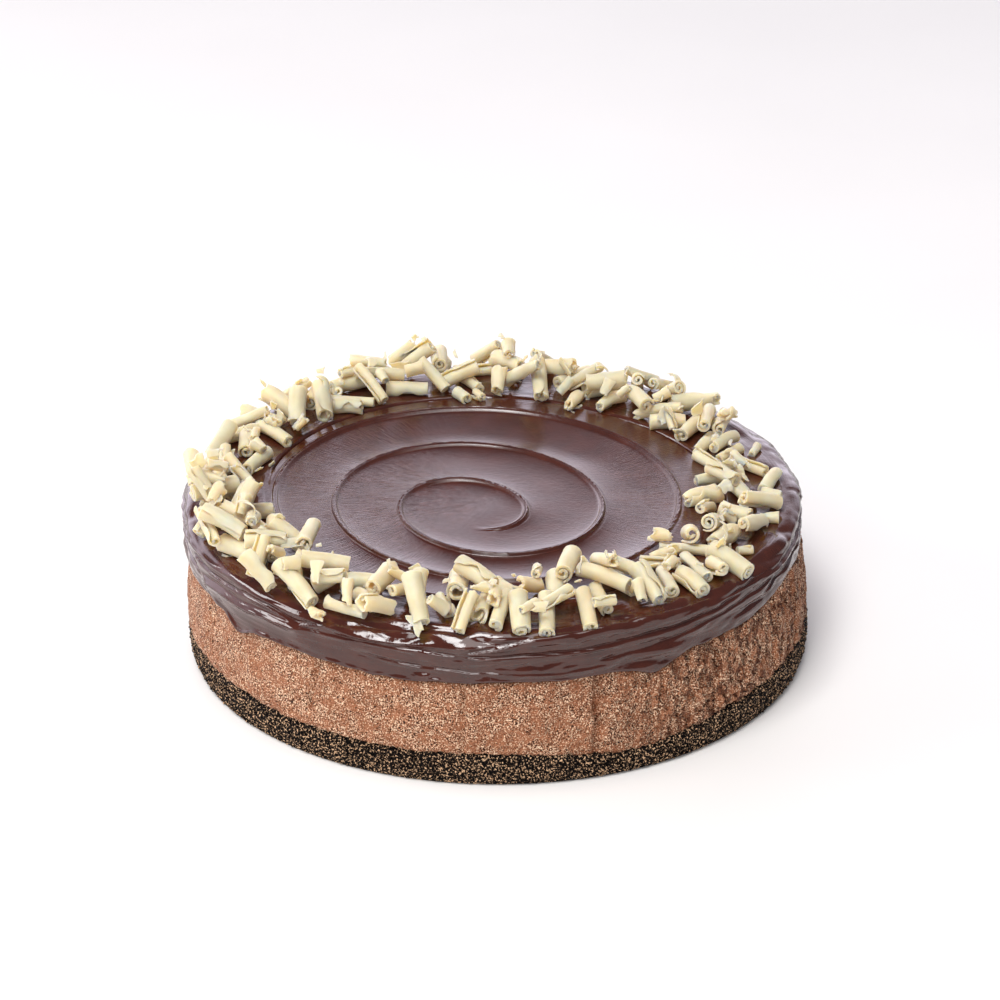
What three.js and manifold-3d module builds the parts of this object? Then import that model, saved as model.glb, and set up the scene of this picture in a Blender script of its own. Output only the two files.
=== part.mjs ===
// A round chocolate cheesecake, 20 cm across, in millimetres, +Z up.
// From the bottom: a dark cookie-crumb crust, a thick milk-chocolate cheesecake layer,
// and a dark ganache cap with a spatula swirl, a rolled-over rim and a wandering lower lip.
// White chocolate curls lie in a ring on the ganache and are fused to it.
// The origin is the centre of the crust's flat underside.
import * as THREE from "three";
import { mergeVertices } from "three/addons/utils/BufferGeometryUtils.js";
import Module from "manifold-3d";

// ---------------------------------------------------------------- driving sizes
const CRUST_RADIUS = 102.2;
const CRUST_FOOT_RADIUS = 101; // where the crust rounds in to rest
const CRUST_HEIGHT = 11; // crust thickness away from the rim
const CAKE_RADIUS = 102.1; // widest radius, halfway up the cheesecake layer
const CHEESECAKE_TOP = 42; // height of the cheesecake under the ganache
const CHEESECAKE_TOP_RADIUS = 100.8;
const GANACHE_RADIUS = 101.5;
const BAND_LEVEL = 53; // flat band of ganache that carries the curls
const SWIRL_FLOOR = 51.6; // bottom of the spatula's trough
const SWIRL_CREST = 53.1; // sharp ridge between the inner turns
const SWIRL_CREST_OUT = 53.6; // sharp ridge between the outer turns
const OVAL = 0.9; // how far the cake's foot is drawn out sideways, fading upwards
const LEAN_FOOT = -0.5; // sideways shift of the cheesecake's foot over the crust
const LEAN = -1; // sideways shift of the cheesecake's top over the crust
const GANACHE_LEAN = -1.9; // sideways shift of the ganache over the crust
const GAP = 0.35; // clearance between neighbouring layers
const LIP_THICKNESS = 1.35; // ganache that hangs over the cheesecake's side
const RIM_ROUND = 4.6; // width of the ganache's rounded shoulder

const TAU = 2 * Math.PI;
const rad = (degrees) => (degrees * Math.PI) / 180;
const mix = (a, b, t) => a + (b - a) * t;
const clamp = (x, low, high) => Math.min(high, Math.max(low, x));
const smooth = (low, high, x) => {
  const t = clamp((x - low) / (high - low), 0, 1);
  return t * t * (3 - 2 * t);
};
const rounded = (x, step) => Math.round(x / step) * step;

// The "minimal standard" generator, so that every run gives the same cake.
function seededRandom(seed) {
  let state = seed;
  return () => {
    state = (state * 48271) % 2147483647;
    return state / 2147483647;
  };
}

// A soft bump of the given width round an angle, for dips and drips; all in degrees.
function bumpAt(angle, centre, width) {
  const away = ((angle - centre + 540) % 360) - 180;
  return Math.exp(-((away / width) ** 2));
}

// ---------------------------------------------------------------- mesh helpers
// Collects the faces of one closed body; faces with a repeated corner are left out.
class Shell {
  constructor() {
    this.points = [];
    this.faces = [];
  }
  point(x, y, z) {
    this.points.push(x, y, z);
    return this.points.length / 3 - 1;
  }
  triangle(a, b, c) {
    if (a !== b && b !== c && c !== a) this.faces.push(a, b, c);
  }
  quad(a, b, c, d) {
    this.triangle(a, b, c);
    this.triangle(a, c, d);
  }
  // Joins two rings of equal length, the second further along the outside of the body.
  // Faces split on the other diagonal follow the facing side of a neighbouring layer.
  bridge(first, second, otherDiagonal = false) {
    first.forEach((_, i) => {
      const next = (i + 1) % first.length;
      if (otherDiagonal) this.quad(second[i], second[next], first[next], first[i]);
      else this.quad(first[i], second[i], second[next], first[next]);
    });
  }
  // Joins two rings whose points lie in different directions, given in rising degrees.
  zip(first, firstAngles, second, secondAngles) {
    const ahead = (angles, k) => (k < angles.length ? angles[k] : angles[0] + 360);
    let i = 0;
    let j = 0;
    while (i < first.length || j < second.length) {
      const a = first[i % first.length];
      const b = second[j % second.length];
      const firstMoves =
        j >= second.length ||
        (i < first.length && ahead(firstAngles, i + 1) <= ahead(secondAngles, j + 1));
      if (firstMoves) this.triangle(a, b, first[++i % first.length]);
      else this.triangle(a, b, second[++j % second.length]);
    }
  }
  // Closes a ring to one point, above (facing up) or below it.
  fan(ring, centre, facesUp) {
    ring.forEach((_, i) => {
      const next = (i + 1) % ring.length;
      if (facesUp) this.triangle(centre, ring[i], ring[next]);
      else this.triangle(centre, ring[next], ring[i]);
    });
  }
  geometry() {
    const made = new THREE.BufferGeometry();
    made.setAttribute("position", new THREE.Float32BufferAttribute(this.points, 3));
    made.setIndex(this.faces);
    return made;
  }
}

// ---------------------------------------------------------------- outlines by angle
// Each row is [direction, drop in mm, width in degrees].
const drop = (rows, degrees) =>
  rows.reduce((sum, [at, depth, width]) => sum + depth * bumpAt(degrees, at, width), 0);

// The line between crust and cheesecake at the side: about level, thinner at the front right.
const CRUST_DIPS = [
  [260, 0.7, 14],
  [296, 3.9, 16],
  [95, 1.4, 20],
];
const crustEdge = (degrees) =>
  CRUST_HEIGHT + 0.3 + 0.2 * Math.sin(rad(7 * degrees)) - drop(CRUST_DIPS, degrees);

// The ganache's lower lip: lower at the front, with drips.
const GANACHE_EDGE = 38.7;
const LIP_DIPS = [
  [262, 2.6, 62],
  [342, -2.2, 9],
  [218, 3.4, 3.5],
  [300, 4, 4.5],
  [20, 2.4, 7],
  [68, 3.2, 5],
  [131, 1.8, 8],
  [166, 2.8, 5],
];
const ganacheEdge = (degrees) =>
  GANACHE_EDGE + 0.25 * Math.sin(rad(11 * degrees)) - drop(LIP_DIPS, degrees);

const oval = (degrees) => OVAL * Math.cos(rad(2 * degrees));

// Upright creases that the folded baking paper left in the cheesecake's side.
const CREASES = [5, 33, 58, 83, 104, 127, 152, 176, 201, 236, 264, 288, 301, 314, 331];
const CREASE_DEPTH = 0.55;
const CREASE_WIDTH = 0.9;

function cheesecakeRadius(degrees, z) {
  const up = (z - CRUST_HEIGHT) / (CHEESECAKE_TOP - CRUST_HEIGHT);
  const creases = CREASES.reduce((sum, at) => sum + bumpAt(degrees, at, CREASE_WIDTH), 0);
  return (
    mix(CAKE_RADIUS, CHEESECAKE_TOP_RADIUS, smooth(0.3, 0.9, up)) +
    (1 - up) * oval(degrees) +
    0.2 * Math.sin(rad(3 * degrees + 70)) +
    0.2 * Math.sin(rad(8 * degrees) + 3 * up) -
    CREASE_DEPTH * creases
  );
}
const leanAt = (z) => mix(LEAN_FOOT, LEAN, smooth(CRUST_HEIGHT, CHEESECAKE_TOP, z));

// Directions of the side's columns, shared by the layers so that they meet evenly: an even
// spread, with three columns at each crease. They rise through one turn from FIRST_DIRECTION.
const FIRST_DIRECTION = -104;
const SIDE_COLUMNS = 60;
const CREASE_FLANK = 1.8 * CREASE_WIDTH;
const spread = (count) =>
  Array.from({ length: count }, (_, i) => FIRST_DIRECTION + (360 * i) / count);
const fromFirst = (angle) => ((angle - FIRST_DIRECTION + 720) % 360) + FIRST_DIRECTION;
const creaseDirections = CREASES.map(fromFirst);
const SIDE_ANGLES = spread(SIDE_COLUMNS)
  .filter((a) => creaseDirections.every((crease) => Math.abs(a - crease) > 1.6 * CREASE_FLANK))
  .concat(creaseDirections.flatMap((c) => [c - CREASE_FLANK, c, c + CREASE_FLANK]))
  .sort((a, b) => a - b);

// ---------------------------------------------------------------- crust
const CRUST_SHOULDER = 0.9 * CRUST_RADIUS; // inside this the crust's top is level

function crustGeometry() {
  const CRAG = 0.45; // height of the crumbs that stand out of the side
  const random = seededRandom(11);
  const shell = new Shell();
  const profile = [
    [0, CRUST_FOOT_RADIUS, 0],
    [0.12, CRUST_FOOT_RADIUS + 0.8, 0.5],
    [0.42, CRUST_RADIUS - 0.2, 1],
    [0.75, CRUST_RADIUS, 1],
    [1, CRUST_RADIUS - 0.7, 0.6],
  ]; // share of the height, radius, share of the crag
  const rings = profile.map(([share, radius, crag]) =>
    SIDE_ANGLES.map((angle) => {
      const r = radius + oval(angle) + CRAG * crag * (2 * random() - 1);
      return shell.point(
        r * Math.cos(rad(angle)),
        r * Math.sin(rad(angle)),
        share * crustEdge(angle),
      );
    }),
  );
  const shoulder = SIDE_ANGLES.map((angle) =>
    shell.point(
      CRUST_SHOULDER * Math.cos(rad(angle)),
      CRUST_SHOULDER * Math.sin(rad(angle)),
      CRUST_HEIGHT,
    ),
  );
  for (let i = 1; i < rings.length; i++) shell.bridge(rings[i], rings[i - 1]);
  shell.bridge(shoulder, rings.at(-1));
  shell.fan(shoulder, shell.point(0, 0, CRUST_HEIGHT), true);
  shell.fan(rings[0], shell.point(0, 0, 0), false);
  return shell.geometry();
}

// ---------------------------------------------------------------- cheesecake layer
function cheesecakeGeometry() {
  const shell = new Shell();
  const ring = (radius, height, lean) =>
    SIDE_ANGLES.map((angle) => {
      const z = height(angle);
      const r = radius(angle, z);
      return shell.point(lean(z) + r * Math.cos(rad(angle)), r * Math.sin(rad(angle)), z);
    });
  // The side shows from the crust up to the ganache's lip, and steps in behind the lip.
  const foot = (angle) => crustEdge(angle) + GAP;
  const shelf = (angle) => ganacheEdge(angle) - GAP;
  const behindLip = () => GANACHE_RADIUS - LIP_THICKNESS - GAP;
  const level = (height) => () => height;
  const underside = ring(level(CRUST_SHOULDER), level(CRUST_HEIGHT + GAP), level(0));
  const side = [0, 0.33, 0.66, 1].map((share) =>
    ring(cheesecakeRadius, (angle) => mix(foot(angle), shelf(angle), share), leanAt),
  );
  side.push(ring(behindLip, shelf, level(GANACHE_LEAN)));
  side.push(ring(behindLip, level(CHEESECAKE_TOP), level(GANACHE_LEAN)));
  shell.bridge(side[0], underside, true);
  for (let i = 1; i < side.length; i++) shell.bridge(side[i], side[i - 1]);
  shell.fan(side.at(-1), shell.point(GANACHE_LEAN, 0, CHEESECAKE_TOP), true);
  shell.fan(underside, shell.point(0, 0, CRUST_HEIGHT + GAP), false);
  return shell.geometry();
}

// ---------------------------------------------------------------- the spatula swirl
// A spiral ridge of three turns that starts in the first direction. Its centre drifts as it
// grows, as a hand-turned swirl does.
const SWIRL_TURNS = 3;
const SWIRL_INNER = 8.8; // radius at the inner end
const SWIRL_PITCH = 23.3; // growth of the radius in one turn
const SWIRL_TIGHTEN = 11.6; // how fast the last part stops growing
const SWIRL_TIGHTEN_FROM = 2.4; // turns
const SWIRL_CENTRE_IN = [-6.8, -17.1];
const SWIRL_CENTRE_OUT = [-1.3, -3.5];
const SWIRL_OVAL = 2.2; // how far the swirl is drawn out of round
const SWIRL_OVAL_TOWARDS = 133; // degrees
const SWIRL_OVAL_AFTER = 0.6; // turns over which it goes out of round

function swirlRadius(turn) {
  if (turn < 0) return SWIRL_INNER * Math.max(0, 1 + turn);
  const t = Math.min(turn, SWIRL_TURNS);
  return SWIRL_INNER + SWIRL_PITCH * t - SWIRL_TIGHTEN * Math.max(0, t - SWIRL_TIGHTEN_FROM) ** 2;
}
function swirlPoint(turn, direction) {
  const along = clamp(turn, 0, SWIRL_TURNS) / SWIRL_TURNS;
  const oval = SWIRL_OVAL * clamp(turn / SWIRL_OVAL_AFTER, 0, 1);
  const radius = swirlRadius(turn) + oval * Math.cos(2 * (direction - rad(SWIRL_OVAL_TOWARDS)));
  return [
    mix(SWIRL_CENTRE_IN[0], SWIRL_CENTRE_OUT[0], along) + radius * Math.cos(direction),
    mix(SWIRL_CENTRE_IN[1], SWIRL_CENTRE_OUT[1], along) + radius * Math.sin(direction),
  ];
}
// The floor comes up to the band as the last turn closes. The ridge grows over the first
// half turn and fades out at the end of the last.
const swirlFloor = (turn) => mix(SWIRL_FLOOR, BAND_LEVEL, smooth(1.7, 2.3, turn));
function swirlCrest(turn) {
  if (turn < 1) return mix(SWIRL_FLOOR, SWIRL_CREST, smooth(0, 0.45, turn));
  const grown = mix(SWIRL_CREST, SWIRL_CREST_OUT, smooth(1.4, 2.2, turn));
  return mix(grown, BAND_LEVEL, smooth(2.6, 2.95, turn));
}

// ---------------------------------------------------------------- ganache cap
function ganacheGeometry() {
  const COLUMNS = 64;
  // Places across one trough, from the inner ridge outwards, and how much of the outer ridge's
  // height each has: a steep drop just outside the inner ridge, then a slow rise.
  const TROUGH = [
    [0, 0],
    [0.13, 0],
    [0.5, 0.05],
    [0.86, 0.35],
  ];
  const TROUGHS = 5;
  // The band beyond the swirl: share of the way to the shoulder, and height of its waves.
  const SWIRL_RIM = swirlRadius(SWIRL_TURNS);
  const BAND = [
    [0.35, 0.25],
    [0.7, 0.35],
  ];
  // The shoulder and side, from the top down: radial inset, depth below the band, ripple.
  const SIDE = [
    [5.6, 0, 0],
    [2.5, 0.5, 0.2],
    [0.7, 2, 0.4],
    [0.1, 4.2, 0.5],
    [0.75, 5.6, 0.5],
    [0.0, 8.6, 0.5],
    [0.6, 10.4, 0.4],
    [-0.1, 13.2, 0.3],
  ];
  const shell = new Shell();
  const centre = shell.point(...SWIRL_CENTRE_IN, SWIRL_FLOOR);
  const columns = Array.from({ length: COLUMNS }, (_, i) => {
    const share = i / COLUMNS;
    const direction = rad(FIRST_DIRECTION) + TAU * share;
    const column = [centre];
    for (let k = 0; k < TROUGHS; k++) {
      const turn = share - 2 + k; // turn of the ridge on the trough's inner side
      const from = swirlPoint(turn, direction);
      const to = swirlPoint(turn + 1, direction);
      const floor = swirlFloor(turn);
      const outerCrest = Math.max(floor, swirlCrest(turn + 1));
      for (const [across, rise] of TROUGH) {
        if (k === 0 && across === 0) continue;
        const z = across === 0 ? swirlCrest(turn) : mix(floor, outerCrest, rise);
        column.push(shell.point(mix(from[0], to[0], across), mix(from[1], to[1], across), z));
      }
    }
    column.push(shell.point(...swirlPoint(SWIRL_TURNS, direction), BAND_LEVEL));
    return column;
  });
  // After a full turn each place has moved out by one trough, and the last trough has closed.
  const rows = TROUGHS * TROUGH.length;
  const place = (i, j) => {
    if (j === 0) return centre;
    if (i < COLUMNS && i > 0) return columns[i][j];
    const shifted = i === 0 ? j : Math.min(j + TROUGH.length, rows);
    return shifted <= TROUGH.length ? centre : columns[0][shifted];
  };
  for (let i = 0; i < COLUMNS; i++)
    for (let j = 0; j < rows; j++)
      shell.quad(place(i, j), place(i, j + 1), place(i + 1, j + 1), place(i + 1, j));

  // Band, shoulder and side, ring by ring.
  const topAngles = spread(COLUMNS);
  const ring = (angles, radius, height) =>
    angles.map((angle) => {
      const r = radius(angle);
      return shell.point(
        GANACHE_LEAN + r * Math.cos(rad(angle)),
        r * Math.sin(rad(angle)),
        height(angle),
      );
    });
  let last = columns.map((column) => column.at(-1));
  const follow = (next) => {
    shell.bridge(last, next);
    last = next;
  };
  for (const [share, wave] of BAND) {
    const radius = mix(SWIRL_RIM, GANACHE_RADIUS - SIDE[0][0], share);
    const height = (angle) => BAND_LEVEL + wave * (Math.sin(rad(9 * angle + 300 * share)) - 0.5);
    follow(ring(topAngles, () => radius, height));
  }
  for (const [inset, depth, ripple] of SIDE) {
    const sway = (angle) => ripple * Math.sin(rad(4 * angle + 50 * depth));
    const radius = (angle) => GANACHE_RADIUS - inset + 0.35 * sway(angle);
    follow(ring(topAngles, radius, (angle) => BAND_LEVEL - depth + 1.2 * sway(angle)));
  }

  // The lip hangs over the cheesecake; the underside is flat.
  const inside = () => GANACHE_RADIUS - LIP_THICKNESS;
  const lip = [
    ring(SIDE_ANGLES, () => GANACHE_RADIUS - 0.1, (angle) => ganacheEdge(angle) + 0.7),
    ring(SIDE_ANGLES, () => GANACHE_RADIUS - 0.8, ganacheEdge),
    ring(SIDE_ANGLES, inside, (angle) => ganacheEdge(angle) + 0.3),
    ring(SIDE_ANGLES, inside, () => CHEESECAKE_TOP + GAP),
  ];
  shell.zip(last, topAngles, lip[0], SIDE_ANGLES);
  for (let i = 1; i < lip.length; i++) shell.bridge(lip[i - 1], lip[i]);
  shell.fan(lip.at(-1), shell.point(GANACHE_LEAN, 0, CHEESECAKE_TOP + GAP), false);
  return shell.geometry();
}

// ---------------------------------------------------------------- white chocolate curls
// How many curls lie in each 30 degrees, anticlockwise from +X, and the ring that they form.
const CURLS_PER_SECTOR = [9, 12, 12, 13, 11, 9, 13, 14, 12, 13, 11, 9];
const CURL_RING_CENTRE = [-5.5, -0.5];
const CURL_RING_RADIUS = 85.5;
const CURL_RING_SPREAD = 14;
const CURL_REACH = 101.5; // no curl's end lies further out than this
const CURL_LENGTH = [9, 19.5];
const CURL_RADIUS = [2.2, 3.3];
const CURL_BOW = [-0.2, 1.2]; // rise of a bowed curl's middle
const CURL_TAPER = 0.25; // most that a curl widens from its middle to one end, as a share
const CURL_SINK = 0.5; // how far a curl settles into what carries it
const CURL_STEEPEST = 0.9; // rise over run of the steepest curl
const CURL_TRIES = 6; // places that each curl is tried in; the best is taken
const STEEPNESS_COST = 3; // a place's height plus this many times its slope is its cost

// Heights of the ganache and of the curls already down, in 1 mm cells.
class Terrain {
  constructor() {
    this.half = 116;
    this.side = 2 * this.half + 1;
    this.cells = new Float64Array(this.side * this.side);
    for (let j = 0; j < this.side; j++)
      for (let i = 0; i < this.side; i++) {
        const out = Math.hypot(i - this.half - GANACHE_LEAN, j - this.half);
        const past = Math.max(0, out - (GANACHE_RADIUS - RIM_ROUND));
        this.cells[j * this.side + i] = BAND_LEVEL - (past * past) / (2 * RIM_ROUND);
      }
  }
  index(x, y) {
    return (Math.round(y) + this.half) * this.side + Math.round(x) + this.half;
  }
  // The lowest height for the axis of a lying cylinder at each millimetre of its length.
  needed(curl) {
    const c = Math.cos(rad(curl.yaw));
    const s = Math.sin(rad(curl.yaw));
    const found = [];
    const reach = Math.floor(curl.length / 2);
    for (let along = -reach; along <= reach; along++) {
      let height = -1e3;
      for (let across = -2; across <= 2; across++) {
        const cell = this.index(
          curl.x + along * c - across * s,
          curl.y + along * s + across * c,
        );
        height = Math.max(
          height,
          this.cells[cell] + Math.sqrt(Math.max(0, curl.radius ** 2 - across ** 2)),
        );
      }
      found.push([along, height]);
    }
    return found;
  }
  // Lets the cylinder come to rest on two supports, one to each side of its middle.
  rest(curl) {
    const needed = this.needed(curl);
    let height = -1e3;
    let slope = 0;
    for (const [a, za] of needed)
      for (const [b, zb] of needed) {
        if (a > 0 || b < 0 || a === b) continue;
        const m = clamp((zb - za) / (b - a), -CURL_STEEPEST, CURL_STEEPEST);
        const middle = Math.max(za - m * a, zb - m * b);
        if (middle > height + 1e-6) {
          height = middle;
          slope = m;
        }
      }
    curl.z = rounded(height - CURL_SINK, 0.01);
    curl.slope = rounded(slope, 0.001);
    return curl;
  }
  add(curl) {
    const c = Math.cos(rad(curl.yaw));
    const s = Math.sin(rad(curl.yaw));
    const reach = Math.floor(curl.length / 2);
    for (let along = -reach; along <= reach; along += 0.5)
      for (let across = -3; across <= 3; across += 0.5) {
        if (Math.abs(across) > curl.radius) continue;
        const cell = this.index(
          curl.x + along * c - across * s,
          curl.y + along * s + across * c,
        );
        const top = curl.z + curl.slope * along + Math.sqrt(curl.radius ** 2 - across ** 2);
        this.cells[cell] = Math.max(this.cells[cell], top);
      }
  }
}

const cost = (curl) => curl.z + STEEPNESS_COST * Math.abs(curl.slope);

function curlPlaces() {
  const random = seededRandom(57);
  const terrain = new Terrain();
  const placed = [];
  const most = Math.max(...CURLS_PER_SECTOR);
  for (let round = 0; round < most; round++)
    CURLS_PER_SECTOR.forEach((count, sector) => {
      if (round >= count) return;
      const length = rounded(mix(...CURL_LENGTH, (random() + random()) / 2), 0.1);
      const radius = rounded(mix(...CURL_RADIUS, random()), 0.05);
      const taper = rounded(CURL_TAPER * random() * random(), 0.01);
      const bow = rounded(mix(...CURL_BOW, random()), 0.1);
      let best = null;
      for (let attempt = 0; attempt < CURL_TRIES; attempt++) {
        const angle = 30 * (sector + (round + random()) / count);
        const out = CURL_RING_RADIUS + CURL_RING_SPREAD * (random() + random() - 1);
        const yaw = rounded(180 * random(), 1);
        const x = rounded(CURL_RING_CENTRE[0] + out * Math.cos(rad(angle)), 0.1);
        const y = rounded(CURL_RING_CENTRE[1] + out * Math.sin(rad(angle)), 0.1);
        const half = length / 2;
        const far = Math.max(
          ...[-half, half].map((e) =>
            Math.hypot(x - GANACHE_LEAN + e * Math.cos(rad(yaw)), y + e * Math.sin(rad(yaw))),
          ),
        );
        const inwards = Math.max(0, far - CURL_REACH) / Math.hypot(x, y);
        const curl = terrain.rest({
          x: rounded(x * (1 - inwards), 0.1),
          y: rounded(y * (1 - inwards), 0.1),
          yaw,
          length,
          radius,
          taper,
          bow,
        });
        if (!best || cost(curl) < cost(best)) best = curl;
      }
      terrain.add(best);
      placed.push(best);
    });
  return placed;
}

// One rolled curl: a spiral section with the step of its loose edge, hollowed at both ends.
function curlGeometry(curl) {
  const SIDES = 8;
  const STEP = 0.17; // drop of the spiral from its loose edge to where it closes
  const HOLLOW = 1.6; // depth of the dimple at each end
  const shell = new Shell();
  const flat = new THREE.Vector3(Math.cos(rad(curl.yaw)), Math.sin(rad(curl.yaw)), 0);
  const along = flat.clone().setZ(curl.slope).normalize();
  const side = new THREE.Vector3(-flat.y, flat.x, 0);
  const up = new THREE.Vector3().crossVectors(along, side);
  const middle = new THREE.Vector3(curl.x, curl.y, curl.z);
  const stations = curl.bow > 0.6 ? [-1, 0, 1] : [-1, 1];
  const axisAt = (t) =>
    middle
      .clone()
      .addScaledVector(along, (t * curl.length) / 2)
      .addScaledVector(up, stations.length > 2 ? curl.bow * (0.35 - t * t * 0.65) : 0);
  const rings = stations.map((t) => {
    const axis = axisAt(t);
    const girth = curl.radius * (1 + curl.taper * t) * 1.04;
    return Array.from({ length: SIDES }, (_, k) => {
      const turn = (TAU * (k + 0.25 + curl.bow)) / SIDES;
      const r = girth * (1 - (STEP * k) / SIDES);
      const p = axis
        .clone()
        .addScaledVector(side, r * Math.cos(turn))
        .addScaledVector(up, r * Math.sin(turn));
      return shell.point(p.x, p.y, p.z);
    });
  });
  for (let i = 1; i < rings.length; i++) shell.bridge(rings[i], rings[i - 1]);
  const dimple = (t) => {
    const p = axisAt(t).addScaledVector(along, -t * HOLLOW);
    return shell.point(p.x, p.y, p.z);
  };
  shell.fan(rings.at(-1), dimple(1), true);
  shell.fan(rings[0], dimple(-1), false);
  return shell.geometry();
}

// ---------------------------------------------------------------- joining
const wasm = await Module();
wasm.setup();

function solidOf(geometry) {
  const bare = geometry.clone();
  bare.deleteAttribute("normal");
  bare.deleteAttribute("uv");
  const merged = mergeVertices(bare, 1e-4);
  return new wasm.Manifold(
    new wasm.Mesh({
      numProp: 3,
      vertProperties: merged.attributes.position.array,
      triVerts: new Uint32Array(merged.index.array),
    }),
  );
}
function geometryOf(solid) {
  const mesh = solid.getMesh();
  const made = new THREE.BufferGeometry();
  made.setAttribute("position", new THREE.BufferAttribute(mesh.vertProperties, 3));
  made.setIndex(new THREE.BufferAttribute(mesh.triVerts, 1));
  return made;
}

const SLIVER = 0.04; // width of the slivers that are closed up where curls cross
function ganacheWithCurls() {
  const joined = curlPlaces()
    .map((curl) => solidOf(curlGeometry(curl)))
    .reduce((sum, curl) => sum.add(curl), solidOf(ganacheGeometry()));
  // A scrap that touches nothing is dropped, and slivers along the joins are closed up.
  const bodies = joined.decompose().sort((a, b) => b.volume() - a.volume());
  return geometryOf(bodies[0].asOriginal().simplify(SLIVER));
}

// ---------------------------------------------------------------- the cake
function piece(name, geometry, color, roughness) {
  const material = new THREE.MeshStandardMaterial({ color, roughness, metalness: 0 });
  const mesh = new THREE.Mesh(geometry, material);
  mesh.name = name;
  return mesh;
}

const cake = new THREE.Group();
cake.add(piece("crust", crustGeometry(), 0x2b1d17, 0.95));
cake.add(piece("cheesecake", cheesecakeGeometry(), 0xa87354, 0.85));
cake.add(piece("ganache", ganacheWithCurls(), 0x3a1d18, 0.3));

export default cake;
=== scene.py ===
"""A chocolate cheesecake, 20 cm across: dark crumb crust, baked cheesecake layer, glossy ganache cap
with a spatula swirl, and a ring of white chocolate curls.

Shapes are worked out in millimetres, +Z up, from the centre of the crust's flat underside, and turned
into metres as each mesh is made. Directions are in degrees, anticlockwise from +X, seen from above.
"""
import math
from itertools import combinations

import bpy
import numpy as np
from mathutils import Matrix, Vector


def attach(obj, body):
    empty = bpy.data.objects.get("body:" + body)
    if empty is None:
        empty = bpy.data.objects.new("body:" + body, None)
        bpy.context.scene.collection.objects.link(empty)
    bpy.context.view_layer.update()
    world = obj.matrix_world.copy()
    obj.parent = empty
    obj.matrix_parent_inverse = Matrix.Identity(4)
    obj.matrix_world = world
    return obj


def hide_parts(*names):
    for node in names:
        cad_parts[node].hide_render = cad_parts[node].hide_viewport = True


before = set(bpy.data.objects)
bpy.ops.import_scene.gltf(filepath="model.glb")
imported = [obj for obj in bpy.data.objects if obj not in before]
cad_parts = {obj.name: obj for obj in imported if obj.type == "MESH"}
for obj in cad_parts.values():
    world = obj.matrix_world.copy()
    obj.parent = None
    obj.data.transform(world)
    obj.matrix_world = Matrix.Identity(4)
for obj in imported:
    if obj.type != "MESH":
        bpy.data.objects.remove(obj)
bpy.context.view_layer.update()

METRES = 0.001
TAU = 2 * math.pi

# ---- sizes shared with the solids
CRUST_RADIUS = 102.2
CRUST_FOOT_RADIUS = 101.0
CRUST_HEIGHT = 11.0
INSIDE_RADIUS = 0.9 * CRUST_RADIUS  # where the flat faces between crust and cheesecake begin
CAKE_RADIUS = 102.1
CHEESECAKE_TOP = 42.0
CHEESECAKE_TOP_RADIUS = 100.8
GANACHE_RADIUS = 101.5
BAND_LEVEL = 53.0
SWIRL_FLOOR = 51.6
SWIRL_CREST = 53.1
SWIRL_CREST_OUT = 53.6
OVAL = 0.9  # how much wider the cake is from left to right than round, at each end
LEAN_FOOT = -0.5  # how far the cheesecake stands to the right of the crust, at its foot
LEAN = -1.0  # and at its top
GANACHE_LEAN = -1.9
GAP = 0.35  # left between touching pieces
LIP_THICKNESS = 1.35
RIM_ROUND = 4.6  # how far in the solid's rim starts to round over

FIRST_DIRECTION = -104.0
SWIRL_TURNS = 3
SWIRL_INNER = 8.8
SWIRL_PITCH = 23.3
SWIRL_TIGHTEN = 11.6
SWIRL_TIGHTEN_FROM = 2.4
SWIRL_CENTRE_IN = (-6.8, -17.1)
SWIRL_CENTRE_OUT = (-1.3, -3.5)
SWIRL_OVAL = 2.2
SWIRL_OVAL_TOWARDS = 133.0
SWIRL_OVAL_AFTER = 0.6

# Rows of [direction, drop in mm, width in degrees].
CRUST_DIPS = [(260, 0.7, 14), (296, 3.9, 16), (95, 1.4, 20)]
GANACHE_EDGE = 38.7
LIP_DIPS = [
    (262, 2.6, 62),
    (342, -2.2, 9),
    (218, 3.4, 3.5),
    (300, 4, 4.5),
    (20, 2.4, 7),
    (68, 3.2, 5),
    (131, 1.8, 8),
    (166, 2.8, 5),
]

CURLS_PER_SECTOR = [9, 12, 12, 13, 11, 9, 13, 14, 12, 13, 11, 9]
CURL_RING_CENTRE = (-5.5, -0.5)
CURL_RING_RADIUS = 85.5
CURL_RING_SPREAD = 14
CURL_REACH = 101.5
CURL_LENGTH = (9, 19.5)
CURL_RADIUS = (2.2, 3.3)
CURL_BOW = (-0.2, 1.2)
CURL_TAPER = 0.25
CURL_SINK = 0.5
CURL_STEEPEST = 0.9
CURL_TRIES = 6
STEEPNESS_COST = 3


# ---- small mathematics
def mix(a, b, t):
    return a + (b - a) * t


def smooth(low, high, x):
    t = np.clip((np.asarray(x, float) - low) / (high - low), 0, 1)
    return t * t * (3 - 2 * t)


def rounded(x, step):
    return math.floor(x / step + 0.5) * step


def hump(x, centre, width):
    """A smooth hump of height one."""
    return np.exp(-(((x - centre) / width) ** 2))


def past(angle, direction):
    """How many degrees past a direction an angle is, the shorter way round."""
    return (angle - direction + 540) % 360 - 180


def bump_at(angle, centre, width):
    """A hump round the cake, in degrees."""
    return hump(past(angle, centre), 0, width)


def drop(rows, degrees):
    return sum(depth * bump_at(degrees, at, width) for at, depth, width in rows)


class Draw:
    """The same seeded draw as the solids use."""

    def __init__(self, seed):
        self.state = seed

    def __call__(self):
        self.state = self.state * 48271 % 2147483647
        return self.state / 2147483647

    def between(self, low, high):
        return mix(low, high, self())


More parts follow.
